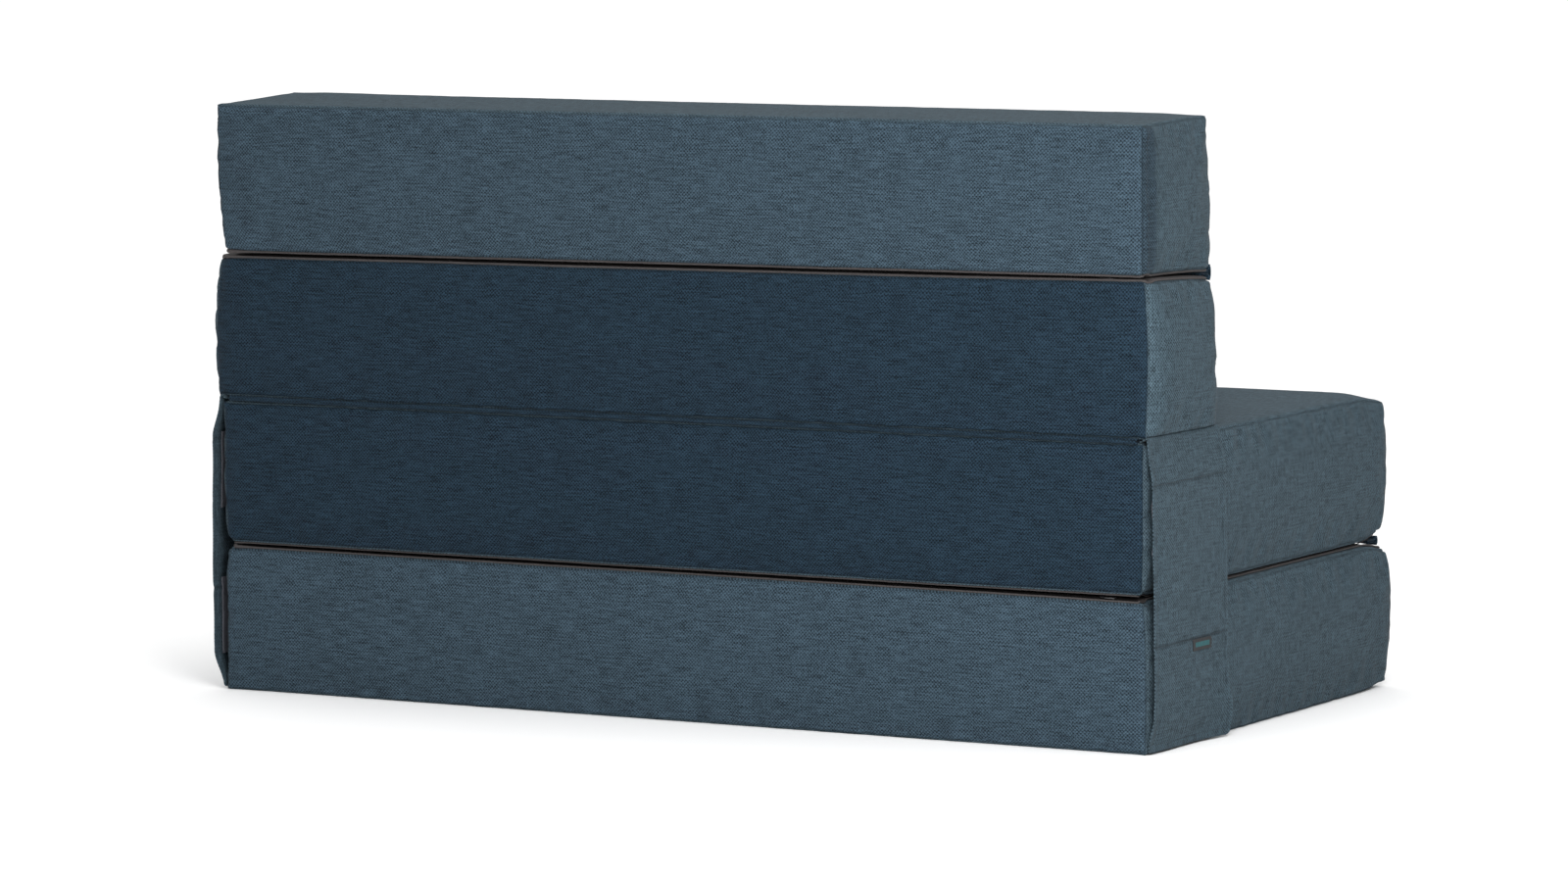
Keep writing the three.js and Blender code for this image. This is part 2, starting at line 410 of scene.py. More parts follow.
def stitches(path, up):
    """A row of stitches along the path, lying on the side that up points to."""
    path = np.asarray(path, float)
    steps = np.linalg.norm(np.diff(path, axis=0), axis=1)
    travel = np.concatenate([[0], np.cumsum(steps)])
    count = max(2, int(travel[-1] / STITCH_PITCH))
    at = (np.arange(count) + 0.5) * travel[-1] / count
    up = np.broadcast_to(np.asarray(up, float), path.shape)

    def sampled(values, where):
        return np.stack([np.interp(where, travel, values[:, axis]) for axis in range(3)], axis=1)

    ahead = sampled(path, at + STITCH_LENGTH / 2) - sampled(path, at - STITCH_LENGTH / 2)
    end = STITCH_LENGTH / 2
    ring = [(-end, 0.35), (-0.6 * end, 1.0), (0.6 * end, 1.0), (end, 0.35)]
    turn = np.arange(6) * math.pi / 3
    points = [(x, STITCH_RADIUS * r * math.cos(a), STITCH_RADIUS * r * math.sin(a))
              for x, r in ring for a in turn]
    ids = np.arange(24).reshape(4, 6)
    wrapped = np.concatenate([ids, ids[:, :1]], axis=1)
    faces = [*grid_quads(wrapped, flip=True), ids[0][::-1], ids[-1]]
    return stamped((np.array(points), faces), sampled(path, at), ahead, sampled(up, at))


def attach(piece, body, slot, *nodes):
    """The piece rides on the body and stands for the nodes."""
    if nodes:
        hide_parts(*nodes)
    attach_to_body(piece, body)
    return piece


class Skin:
    """A finished piece's surface, to lay other pieces on."""

    def __init__(self, made):
        polygons = [list(polygon.vertices) for polygon in made.data.polygons]
        self.tree = BVHTree.FromPolygons([v.co[:] for v in made.data.vertices], polygons)

    def reach(self, start, axis, side):
        """Where a line in from that side, through start, first meets the skin, on the axis."""
        start = Vector(start)
        start[axis] = 2.0 * side
        ahead = Vector((0, 0, 0))
        ahead[axis] = -side
        return self.tree.ray_cast(start, ahead)[0][axis]

    def laid(self, grid, axis, side, lift):
        """The grid's points moved along the axis onto the skin, and lifted off it."""
        flat = grid.reshape(-1, 3).copy()
        for point in flat:
            point[axis] = self.reach(point, axis, side) + lift * side
        return flat.reshape(grid.shape)


# ---- the four padded pieces --------------------------------------------------------------

RIM = np.array([0, 1.2, 2.6, 4.2, 6.5, 9.5, 13.5, 19, 26, 35]) * MM
STEP = 9.5 * MM
SEAM_DEPTH = 1.4 * MM
SEAM_WIDTH = 2.2 * MM
PUCKER = 1.3 * MM
PUCKER_SPAN = 13 * MM
REST_RISE = 1.5 * MM
REST_SWELL = 0.5 * MM
REST_RIM = (42 * MM, 110 * MM)
ZIP_LINE = 15 * MM
ZIP_GROOVE = 3 * MM
ZIP_GROOVE_WIDTH = 9 * MM
DRAW_SPAN = 30 * MM
DROOP_SPAN = 38 * MM
EAR = 3 * MM
EAR_SPAN = 6 * MM
SHOULDER = 55 * MM
STRIP_WIDTH = 30 * MM
CORE_RADIUS = 6 * MM
CORE_INSET = 10 * MM
EDGE_STITCH_INSET = 9 * MM
EDGE_STITCH_ENDS = 14 * MM
EDGE_STITCH_LIFT = 0.2 * MM

# radius rounds the edges, swell is how far the end, front, rear and good sides stand out, and
# draw_in how far the side panels are pulled in at the lining, all in millimetres. mouth is how
# far the lining's front corners stand back from its neighbour's, tilt how much the lining side
# slopes down to the left, slope how much the good side rises to the front, droop how far the
# good side's front corners sink, and roll the lining's rolled edge: how many lattice rows it
# stands in at the ends and along them, and its radius. bulge is how far the left and right ends
# stand out, edges and all, and bow the share of the front's swell that its upright edges keep.
# A corner's move lists x, y and z.
PADDED = {
    "base_slab": {
        "lining": UP,
        "rear": CLOTH_LIGHT,
        "radius": 7,
        "swell": {"end": 5, "front": 8, "rear": 3, "good": 0},
        "draw_in": 3,
        "mouth": 8,
        "droop": 7,
        "roll": (5, 1, 1.3),
        "bulge": (1, 4),
        "bow": 1.0,
        "corners": {(RIGHT, REAR, UP): (1, 0, -2), (RIGHT, FRONT, UP): (-3, -6, 0)},
    },
    "seat_slab": {
        "lining": DOWN,
        "rear": CLOTH_DARK,
        "radius": 10,
        "swell": {"end": 5, "front": 8, "rear": 3, "good": 4},
        "draw_in": 3,
        "mouth": 8,
        "droop": 8,
        "roll": (5, 2, 0.6),
        "bulge": (3, 0),
        "bow": 1.0,
        "corners": {(LEFT, REAR, UP): (0, 0, -2)},
    },
    "back_block": {
        "lining": UP,
        "rear": CLOTH_DARK,
        "radius": 8,
        "swell": {"end": 6, "front": 9, "rear": 4, "good": 0},
        "draw_in": 1.5,
        "mouth": 1,
        "tilt": 4.5,
        "roll": (0, 0, 1.6),
        "bulge": (22, 11),
        "corners": {
            (LEFT, REAR, UP): (2, 0, 0),
            (LEFT, REAR, DOWN): (7, 0, 0),
            (RIGHT, REAR, UP): (0, 0, 2),
            (RIGHT, FRONT, UP): (0, 0, -8),
            (RIGHT, FRONT, DOWN): (-2, -9, 0),
        },
        "round_edge": 7,
    },
    "head_block": {
        "lining": DOWN,
        "rear": CLOTH_LIGHT,
        "radius": 7,
        "swell": {"end": 5, "front": 5, "rear": 4, "good": 2},
        "draw_in": 1.5,
        "mouth": 0,
        "tilt": 4.5,
        "droop": 2,
        "slope": 5,
        "roll": (0, 0, 1.5),
        "bulge": (7, 0),
        "corners": {
            (LEFT, REAR, DOWN): (-8, 0, 0),
            (LEFT, FRONT, UP): (8, 0, 3),
            (RIGHT, FRONT, UP): (2, 14, 0),
            (RIGHT, FRONT, DOWN): (-1, 9, -5),
        },
        "strip": CLOTH_LIGHT,
    },
}


def swellings(points, half, spec):
    """How far each panel stands out: it rounds off towards its seams."""
    share = points / half
    x, y, z = np.abs(share).T
    power = [max(3.0, 2.2 * h / SHOULDER) for h in half]
    full = {key: value * MM for key, value in spec["swell"].items()}
    is_rear = share[:, 1] > 0
    loss = np.where(is_rear, 1.0, 1 - spec.get("bow", 0))
    end = full["end"] * (1 - loss * y ** power[1]) * (1 - z ** 3)
    face = np.where(is_rear, full["rear"], full["front"])
    face = face * (1 - loss * x ** power[0]) * (1 - z ** 3)
    good = share[:, 2] * spec["lining"] < 0
    # A seat's good side is flat where the back stands on it.
    free = 1 - ramp(points[:, 1], half[1] - 0.28, half[1] - 0.16) if half[1] > 0.2 else 1
    crown = full["good"] * free * (1 - x ** power[0]) * (1 - y ** power[1])
    rim_gap = np.minimum(*(half[:2] - np.abs(points[:, :2])).T)
    # The zip lies in a groove, so that two sliders can pass each other in one joint.
    from_zip = (half[1] - points[:, 1] - ZIP_LINE) / ZIP_GROOVE_WIDTH
    groove = np.exp(-from_zip ** 4)
    rest = REST_RISE + REST_SWELL * ramp(rim_gap, *REST_RIM) - ZIP_GROOVE * groove
    return np.stack([end, face, np.where(good, crown, rest)], axis=1)


def cushion_shape(points, half, spec, seed):
    """Points of a box lattice bent into a sewn foam piece, with crisp seams and full panels."""
    share = points / half
    side = np.sign(share)
    gap = half - np.abs(points)
    on_panel = np.isclose(gap, 0)
    radius = spec["radius"] * MM
    core, away = outward(points, half, radius)
    shaped = core + away * radius
    shaped += side * on_panel * swellings(points, half, spec)

    # Seams run along every edge of the box, and gather the cloth beside them a little.
    edge_gap = np.sort(gap, axis=1)[:, 1]
    shaped -= away * (SEAM_DEPTH * near(edge_gap, SEAM_WIDTH))[:, None]
    gather = unevenness(points, 17 * MM, seed) * near(edge_gap - 6 * MM, PUCKER_SPAN)
    ripple = 1.5 * MM * unevenness(points, 170 * MM, seed + 3)
    ripple += 0.6 * MM * unevenness(points, 60 * MM, seed + 7)
    resting = on_panel[:, 2]
    loose = np.where(resting, 0.25, 1.0) * (PUCKER * gather + ripple)
    shaped += away * loose[:, None]

    # The side panels are pulled in at the lining, and its front corners gape.
    lining = spec["lining"]
    toward = (1 + share[:, 2] * lining) / 2
    for axis in (0, 1):
        drawn = spec["draw_in"] * MM * toward ** 8 * near(gap[:, axis], DRAW_SPAN)
        shaped[:, axis] -= side[:, axis] * drawn
    front = side[:, 1] == FRONT
    gape = spec["mouth"] * MM * front * near(gap[:, 0], 60 * MM) * near(gap[:, 1], 36 * MM)
    shaped[:, 2] -= lining * gape * toward ** 6
    shaped[:, 2] -= spec.get("tilt", 0) * MM * share[:, 0] * toward ** 2
    sink = near(gap[:, 0], DROOP_SPAN) * near(gap[:, 1], DROOP_SPAN) * front * (1 - toward) ** 4
    shaped[:, 2] += lining * spec.get("droop", 0) * MM * sink
    slope = spec.get("slope", 0) * MM * (1 - share[:, 1]) / 2 * (1 - toward) ** 2
    shaped[:, 2] -= lining * slope
    for hand, bulge in zip((LEFT, RIGHT), spec["bulge"]):
        weight = ((1 + hand * share[:, 0]) / 2) ** 6 * (1 - 0.4 * share[:, 2] ** 2)
        shaped[:, 0] += hand * bulge * MM * weight

    # Little ears stand out where three seams meet on the good side.
    ear = np.exp(-np.linalg.norm(gap, axis=1) / EAR_SPAN) * (toward < 0.5)
    shaped += side * EAR * ear[:, None]
    upright = near(np.hypot(gap[:, 0], gap[:, 1]), 17 * MM) * spec.get("round_edge", 0) * MM
    shaped[:, :2] -= side[:, :2] * upright[:, None]

    for corner, move in spec["corners"].items():
        reach = (1 + share * np.array(corner)) / 2
        weight = reach[:, 0] ** 6 * reach[:, 1] ** 2 * reach[:, 2] ** 2
        shaped += weight[:, None] * np.array(move) * MM
    return shaped


def cushion_shade(name, points, half):
    """The head's end panels are darker beside their rear seams, and the back's are lighter, a
    painted highlight on its rounded rear corners.
    Everywhere the cloth is a little worn just off its seams, and painted shade darkens the
    seam lines themselves."""
    # The back's lighter band beside its rear seams is a painted highlight on its rounded corners.
    strip = {"head_block": -0.34, "back_block": 0.10}.get(name, 0.0)
    gap = half - np.abs(points)
    beside = np.where(points[:, 1] > 0, gap[:, 1], 1.0) / STRIP_WIDTH
    on_end = np.isclose(gap[:, 0], 0)
    edge_gap = np.sort(gap, axis=1)[:, 1]
    # Wear lightens the cloth just off each seam, and painted shade darkens the seam's groove.
    wear_and_seam_shade = 0.10 * near(edge_gap - 5 * MM, 4 * MM) - 0.22 * near(edge_gap, 1.8 * MM)
    return 1 + np.where(on_end, strip * np.exp(-beside ** 4), 0) + wear_and_seam_shade


def cushion(name, spec, seed):
    low, high = (np.array(corner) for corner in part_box(f"{name}_cover"))
    half, centre = (high - low) / 2, (high + low) / 2
    lattice = BoxLattice(*(graded(-h, h, RIM, STEP) for h in half))
    shaped = cushion_shape(lattice.points, half, spec, seed) + centre
    shaped[:, 2] = np.maximum(shaped[:, 2], 0)
    quads, which, weave = [], [], []
    for axis, side in BoxLattice.PANELS:
        panel = lattice.quads(axis, side)
        quads.append(panel)
        middle_y = lattice.points[panel][:, :, 1].mean(axis=1)
        strip = (axis == 0) & ("strip" in spec) & (middle_y > half[1] - STRIP_WIDTH)
        rear = axis == 1 and side == REAR
        which.append(np.where(strip | rear, 0, 1))
        flat_axes = [a for a in range(3) if a != axis]
        place = lattice.points[panel.ravel()][:, flat_axes]
        weave.append(place + [1.7 * axis + 0.4 * side, centre[2] + side])
    made = make_mesh(
        f"{name}_cushion",
        shaped,
        np.concatenate(quads),
        [spec["rear"], CLOTH_SIDE],
        np.concatenate(which),
        np.concatenate(weave),
        cushion_shade(name, lattice.points, half),
    )
    return made, lattice, half


def edge_stitching(name, made):
    """A row of stitches down each end panel, beside its rear seam."""
    low, high = (np.array(corner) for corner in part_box(f"{name}_cover"))
    skin = Skin(made)
    zs = np.linspace(low[2] + EDGE_STITCH_ENDS, high[2] - EDGE_STITCH_ENDS, 40)
    rows = []
    for side in (LEFT, RIGHT):
        grid = np.zeros((len(zs), 1, 3))
        grid[:, 0, 1] = high[1] - EDGE_STITCH_INSET
        grid[:, 0, 2] = zs
        path = skin.laid(grid, 0, side, EDGE_STITCH_LIFT)[:, 0]
        rows.append(stitches(path, (side, 0, 0)))
    sewn = make_mesh(f"{name}_edge_stitches", *merged(*rows), [THREAD])
    attach(sewn, name, "fabric_light")


def foam_core(name):
    low, high = (np.array(corner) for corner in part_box(f"{name}_core"))
    half, centre = (high - low) / 2 - CORE_INSET, (high + low) / 2
    rim = np.array([0, 3, 8, 20]) * MM
    lattice = BoxLattice(*(graded(-h, h, rim, 40 * MM) for h in half))
    core, away = outward(lattice.points, half, CORE_RADIUS)
    skin = CORE_RADIUS + 0.4 * MM * unevenness(lattice.points, 30 * MM, 1)
    quads = np.concatenate([lattice.quads(*panel) for panel in BoxLattice.PANELS])
    return make_mesh(f"{name}_foam", core + away * skin[:, None] + centre, quads, [FOAM])


# ---- cloth simulation --------------------------------------------------------------------

SETTLE_FRAMES = 14
SETTLE_CAP = 5 * MM


def settle(covers):
    """Each cover finds its rest over its foam: blown out from inside, a little too large beside
    its seams, and held by the foam behind it. covers holds (object, lattice, half)."""
    scene = bpy.context.scene
    scene.frame_start, scene.frame_end = 1, SETTLE_FRAMES
    for made, lattice, half in covers:
        gap = half - np.abs(lattice.points)
        edge_gap = np.sort(gap, axis=1)[:, 1]
        resting = np.isclose(gap[:, 2], 0)
        held = np.where(resting, 1.0, 0.10 + 0.85 * near(edge_gap, 3 * MM))
        taut = 1 - 0.9 * near(edge_gap - 14 * MM, 22 * MM)
        for group_name, values in (("held", held), ("taut", taut)):
            group = made.vertex_groups.new(name=group_name)
            for level in np.unique(np.round(values, 2)):
                chosen = np.flatnonzero(np.round(values, 2) == level)
                group.add(chosen.tolist(), float(level), "REPLACE")
        modifier = made.modifiers.new("Cloth", "CLOTH")
        modifier.point_cache.frame_start, modifier.point_cache.frame_end = 1, SETTLE_FRAMES
        cloth = modifier.settings
        cloth.quality = 4
        cloth.mass = 0.3
        cloth.tension_stiffness = cloth.compression_stiffness = 20
        cloth.shear_stiffness = 8
        cloth.bending_stiffness = 0.8
        cloth.use_pressure = True
        cloth.uniform_pressure_force = 4
        cloth.vertex_group_mass = "held"
        cloth.pin_stiffness = 2.0
        cloth.vertex_group_shrink = "taut"
        cloth.shrink_min = -0.02
        cloth.shrink_max = 0.0
        cloth.effector_weights.gravity = 0
        modifier.collision_settings.use_collision = False
    for moment in range(1, SETTLE_FRAMES + 1):
        scene.frame_set(moment)
    graph = bpy.context.evaluated_depsgraph_get()
    for made, lattice, half in covers:
        before = coordinates(made)
        settled = np.zeros(before.size, np.float32)
        made.evaluated_get(graph).data.vertices.foreach_get("co", settled)
        move = settled.reshape(-1, 3) - before
        length = np.linalg.norm(move, axis=1)
        move *= np.minimum(1, SETTLE_CAP / np.maximum(length, 1e-9))[:, None]
        made.modifiers.remove(made.modifiers["Cloth"])
        made.vertex_groups.clear()
        made.data.vertices.foreach_set("co", (before + move).astype(np.float32).ravel())
        made.data.update()
    scene.frame_set(1)


# ---- linings, zips and sliders -----------------------------------------------------------

LINING_CLOTH = 0.9 * MM
LINING_LIFT = 1.2 * MM
ROLL_LIFT = 2 * MM
ZIP_TAPE_CLOTH = 0.5 * MM
COIL_WIDTH = 4.2 * MM
COIL_RADIUS = 0.45 * MM
COIL_PITCH = 1.6 * MM
ZIP_INSET = 4 * MM
SLIDER_LIFT = 1.4 * MM


def lining(name, spec, made, lattice, half):
    """The lining lies on the cushion's lining side, and its edge is a sewn roll."""
    side = spec["lining"]
    ids = lattice.sheet(2, side)
    where, normals = coordinates(made), vertex_normals(made)
    ends, along, radius = spec["roll"]
    inner = ids[ends + 1:-ends - 1, along + 1:-along - 1]
    outer = where[inner] + normals[inner] * LINING_LIFT
    sheet = sheet_mesh(f"{name}_lining_cloth", outer, side * LINING_CLOTH, [LINING])
    rim = rim_of(ids[ends:len(ids) - ends, along:ids.shape[1] - along])
    path = where[rim] + [0, 0, side * ROLL_LIFT]
    # It is thickest where its two ends meet, at the left rear corner.
    from_corner = np.linalg.norm(lattice.points[rim][:, :2] - half[:2], axis=1)
    radii = radius * MM * (1 + near(from_corner, 30 * MM))
    roll_parts = tube(path, radii[:, None], closed=True)
    roll = make_mesh(f"{name}_lining_roll", *roll_parts, [LINING])
    attach(sheet, name, "lining", f"{name}_lining")
    attach(roll, name, "lining")
    return sheet


def zip_fastener(name, side, lining_sheet):
    """A woven tape on the lining's rear edge with a coil along its middle."""
    low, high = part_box(f"{name}_zip")
    skin = Skin(lining_sheet)
    xs = graded(low.x, high.x, [0, 3 * MM], 12 * MM)
    ys = np.linspace(low.y, high.y, 7) - ZIP_INSET
    grid = np.zeros((len(xs), len(ys), 3))
    grid[..., 0], grid[..., 1] = np.meshgrid(xs, ys, indexing="ij")
    grid = skin.laid(grid, 2, side, ZIP_TAPE_CLOTH)
    tape = sheet_mesh(f"{name}_zip_tape", grid, side * ZIP_TAPE_CLOTH, [ZIP_TAPE])
    middle = grid[:, 3]
    at = np.arange(low.x + 6 * MM, high.x - 6 * MM, COIL_PITCH)
    places = np.stack([np.interp(at, middle[:, 0], middle[:, k]) for k in range(3)], axis=1)
    places[:, 2] += side * 0.3 * MM
    slant = 0.25 * (-1) ** np.arange(len(at))
    along = np.stack([slant, np.ones(len(at)), np.zeros(len(at))], axis=1)
    up = np.broadcast_to((0.0, 0.0, 1.0), places.shape)
    rod = [(-COIL_WIDTH / 2, 0, 0), (COIL_WIDTH / 2, 0, 0)]
    stamp = tube(rod, COIL_RADIUS, sides=6)
    teeth = make_mesh(f"{name}_zip_teeth", *stamped(stamp, places, along, up), [ZIP_COIL])
    attach(tape, name, "zip", f"{name}_zip")
    attach(teeth, name, "zip")
    return tape


def slotted_plate(length, width, thickness, slot_length, slot_width):
    """A flat tab with round ends and a slot near its +X end."""
    turn = (np.arange(32) + 0.5) * 2 * math.pi / 32

    def outline(long, wide, x):
        ends = np.sign(np.cos(turn)) * (long - wide) / 2
        return np.stack([x + ends + wide / 2 * np.cos(turn), wide / 2 * np.sin(turn)], axis=1)

    bevel = 0.2 * thickness
    outer_flat = outline(length - 2 * bevel, width - 2 * bevel, 0)
    outer_side = outline(length, width, 0)
    hole = outline(slot_length, slot_width, length / 2 - slot_length)
    half = thickness / 2
    rings = [(hole, half), (outer_flat, half), (outer_side, half - bevel),
             (outer_side, bevel - half), (outer_flat, -half), (hole, -half)]
    points = np.concatenate([np.column_stack([ring, np.full(32, z)]) for ring, z in rings])
    ids = np.arange(len(points)).reshape(len(rings), 32)
    ids = np.concatenate([ids, ids[:1]])
    ids = np.concatenate([ids, ids[:, :1]], axis=1)
    return points, list(grid_quads(ids))


def zip_slider(name, side, tape):
    """A wedge-nosed slider with a bridge, and a slotted pull tab that lies along the zip. It
    slides straight, so it clears the highest place of the tape."""
    low, high = (np.array(corner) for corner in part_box(f"{name}_zip_slider"))
    middle = (low + high) / 2 - [0, ZIP_INSET, 0]
    skin = Skin(tape)
    stops = np.linspace(-middle[0], middle[0], 33)
    heights = [side * skin.reach((x, middle[1], middle[2]), 2, side) for x in stops]
    middle[2] = side * (max(heights) + SLIDER_LIFT)
    ahead = 1 if middle[0] < 0 else -1
    points, faces = rounded_block((14 * MM, 8 * MM, 1.2 * MM), 0.4 * MM)
    points[:, 1] *= 1 - 0.28 * ramp(points[:, 0], -2 * MM, 7 * MM)
    plate = slotted_plate(15 * MM, 4.6 * MM, 0.7 * MM, 4 * MM, 1.8 * MM)
    turn = np.linspace(0, math.pi, 9)
    arch = np.stack([3.2 * MM * np.cos(turn), 0 * turn, 0.5 * MM + 0.25 * MM * np.sin(turn)], 1)
    bridge = tube(arch, 0.35 * MM, sides=6)
    body_at = np.array([-5 * MM, 1.2 * MM, 0])
    tab_at = np.array([4.3 * MM, -2.4 * MM, 0])
    made, made_faces = merged(
        (points + body_at, faces), (bridge[0] + body_at, bridge[1]), (plate[0] + tab_at, plate[1])
    )
    made = made * [ahead, ahead * side, side] + middle
    piece = make_mesh(f"{name}_slider_and_tab", made, made_faces, [METAL])
    attach(piece, f"{name.split('_')[0]}_slider", "slider", f"{name}_zip_slider")


# ---- fabric hinges -----------------------------------------------------------------------

HINGE_CLOTH = 1.1 * MM
FOLD_RADIUS = 3.7 * MM
LEAF_OUTSIDE = 1.7 * MM

# Each hinge's joint, its two pieces, the side it is on, how much longer each end is than its
# leaf, and how far the fold opens there.
HINGES = {
    "seat_hinge": ("base_fold", "base_slab", "seat_slab", FRONT, 20 * MM, 3 * MM),
    "back_hinge": ("back_fold", "seat_slab", "back_block", REAR, 20 * MM, 0),
    "head_hinge": ("head_fold", "back_block", "head_block", FRONT, 26 * MM, 7 * MM),
}


def fabric_hinge(name, joint, lower, upper, facing, extra, flare, seed):
    """A strip sewn to both pieces. It swells into a soft fold where they meet."""
    _, fold_y, fold_z = joints[joint]["pos_m"]
    low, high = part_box(f"{name}_lower_leaf")
    low.x, high.x = low.x - extra, high.x + extra
    leaf = high.y - low.y
    start = math.asin(LEAF_OUTSIDE / FOLD_RADIUS)
    turn = np.linspace(start - math.pi, math.pi - start, 19)
    centre = FOLD_RADIUS + 0.2 * MM
    inner = np.linspace(leaf, centre + 4 * MM, 8)
    inward = np.concatenate([inner, centre - FOLD_RADIUS * np.cos(turn), inner[::-1]])
    height = np.concatenate(
        [np.full(8, -LEAF_OUTSIDE), FOLD_RADIUS * np.sin(turn), np.full(8, LEAF_OUTSIDE)]
    )
    xs = graded(low.x, high.x, [0, 2 * MM, 5 * MM], 9 * MM)
    grid = np.zeros((len(inward), len(xs), 3))
    grid[..., 0] = xs
    grid[..., 1] = fold_y - facing * inward[:, None]
    grid[..., 2] = fold_z + height[:, None]
    soft = (near(inward - centre, FOLD_RADIUS) * np.sign(height))[:, None]
    opening = flare * near(np.abs(xs) - high.x, 26 * MM)
    grid[..., 2] += soft * (0.5 * MM * unevenness(grid, 38 * MM, seed) + opening)
    travel = np.concatenate([[0], np.cumsum(np.hypot(np.diff(inward), np.diff(height)))])
    weave = np.stack(np.broadcast_arrays(xs[None, :], travel[:, None] + seed), axis=-1)
    strip = sheet_mesh(f"{name}_strip", grid, facing * HINGE_CLOTH, [CLOTH_DARK], weave=weave)
    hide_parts(f"{name}_lower_leaf", f"{name}_upper_leaf")
    for body, side in ((lower, DOWN), (upper, UP)):
        z = fold_z + side * 0.35 * MM
        y = fold_y - facing * (leaf - 5 * MM)
        path = np.stack([xs[1:-1], np.full(len(xs) - 2, y), np.full(len(xs) - 2, z)], axis=1)
        sewn = make_mesh(f"{name}_{body}_stitches", *stitches(path, (0, 0, -side)), [THREAD])
        attach(sewn, body, "fabric_dark")
    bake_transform(strip)


# ---- side flaps, their pads and the label ------------------------------------------------

FLAP_CLOTH = 1.8 * MM
HEM_WIDTH = 9 * MM
PAD_SEAMS = (344 * MM, 138 * MM)
FAINT_SEAMS = (258 * MM, 58 * MM)
FLAP_TUCK = np.array(
    [(-6, 2.4), (-3, 3.2), (-0.5, 5.0), (2.0, 6.4), (4.4, 6.0), (5.8, 3.4), (6.1, 0)]
) * MM
FLAP_TOP = 6 * MM
FLAP_STAND = {LEFT: 21 * MM, RIGHT: 15 * MM}
FLAP_FOOT = {LEFT: 8 * MM, RIGHT: 8.5 * MM}


def stand_off(y, z, side, front, rear, top):
    """How far a flap's outer side stands out from the slabs' CAD sides."""
    depth = top - z
    stand, foot = FLAP_STAND[side], FLAP_FOOT[side]
    out = FLAP_TOP + (stand - FLAP_TOP) * ramp(depth, 0, 55 * MM)
    out = out + 2.5 * MM * ramp(depth, 60 * MM, 250 * MM)
    out = out - (stand + 2.5 * MM - foot) * ramp(depth, 345 * MM, 396 * MM)
    forward = (rear - y) / (rear - front)
    out = out - 2.5 * MM * near(forward, 0.12) * ramp(depth, 0, 40 * MM)
    flare = forward ** 5 * ramp(depth, 300 * MM, 395 * MM)
    out = out + 12 * MM * flare
    for seam in PAD_SEAMS:
        out = out - 1.0 * MM * near(z - seam, 3.5 * MM)
    for seam in FAINT_SEAMS:
        out = out - 0.35 * MM * near(z - seam, 3.5 * MM)
    return out


